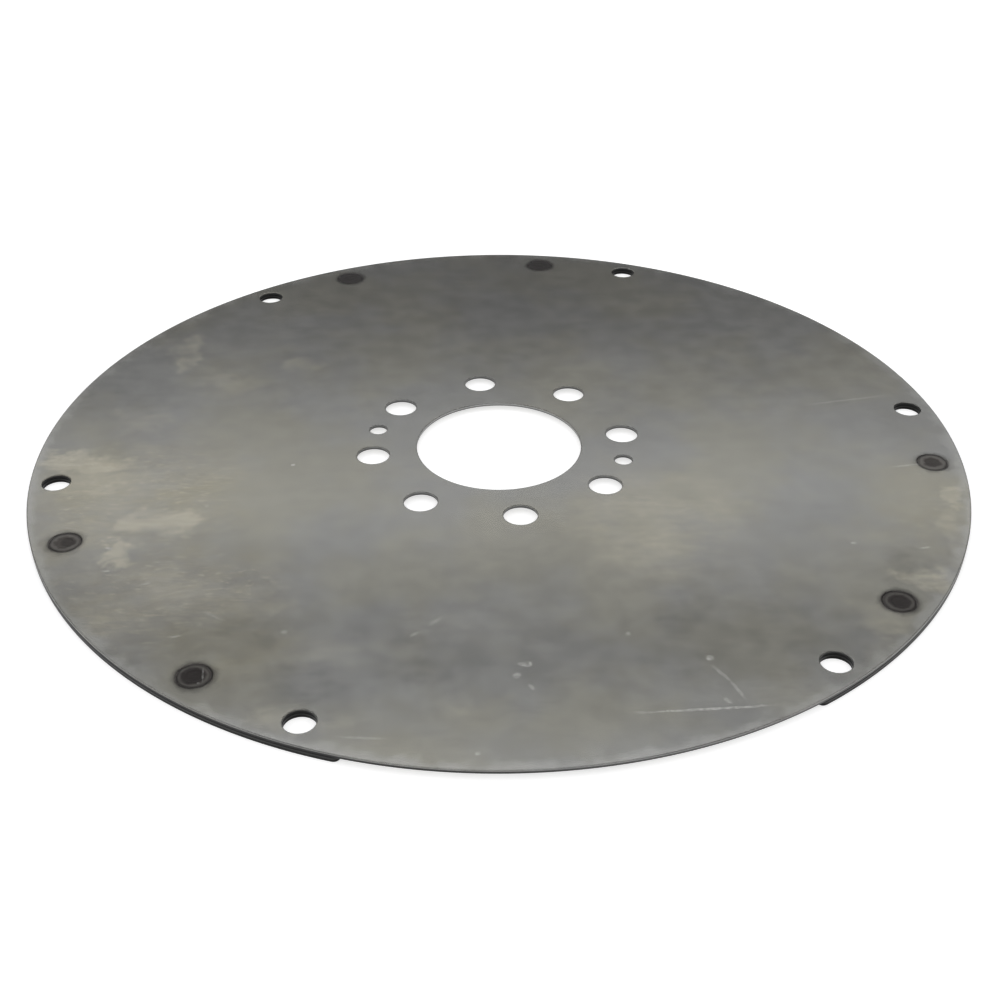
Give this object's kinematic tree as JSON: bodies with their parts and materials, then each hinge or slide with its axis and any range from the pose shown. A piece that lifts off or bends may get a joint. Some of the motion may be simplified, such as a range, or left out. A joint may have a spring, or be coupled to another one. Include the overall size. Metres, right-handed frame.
{
  "type": "flexplate",
  "caption": "Thin round steel drive plate with a central bore, crank bolt and dowel holes around it, and arc-shaped doublers spot-welded under its bolted rim.",
  "frame": {"origin": "on the disc's axis, level with the undersides of the doublers, on which the plate lies", "axes": "+Z along the disc's axis, from the doublers towards the crank flange's seat; +X through a crank bolt hole and a rim bolt hole; +Y through the middle of the rear doubler"},
  "size_m": [0.394, 0.394, 0.0036],
  "materials": {
    "disc_steel": "bare mill-finish sheet, satin grey with faint oily smears, heat-tinted at the weld marks",
    "doubler_steel": "bare mill-finish sheet, satin, slightly darker, with dark sheared edges"
  },
  "bodies": {
    "root": {"drive_disc": "disc_steel", "rear_doubler": "doubler_steel", "left_doubler": "doubler_steel", "right_doubler": "doubler_steel"}
  },
  "joints": []
}
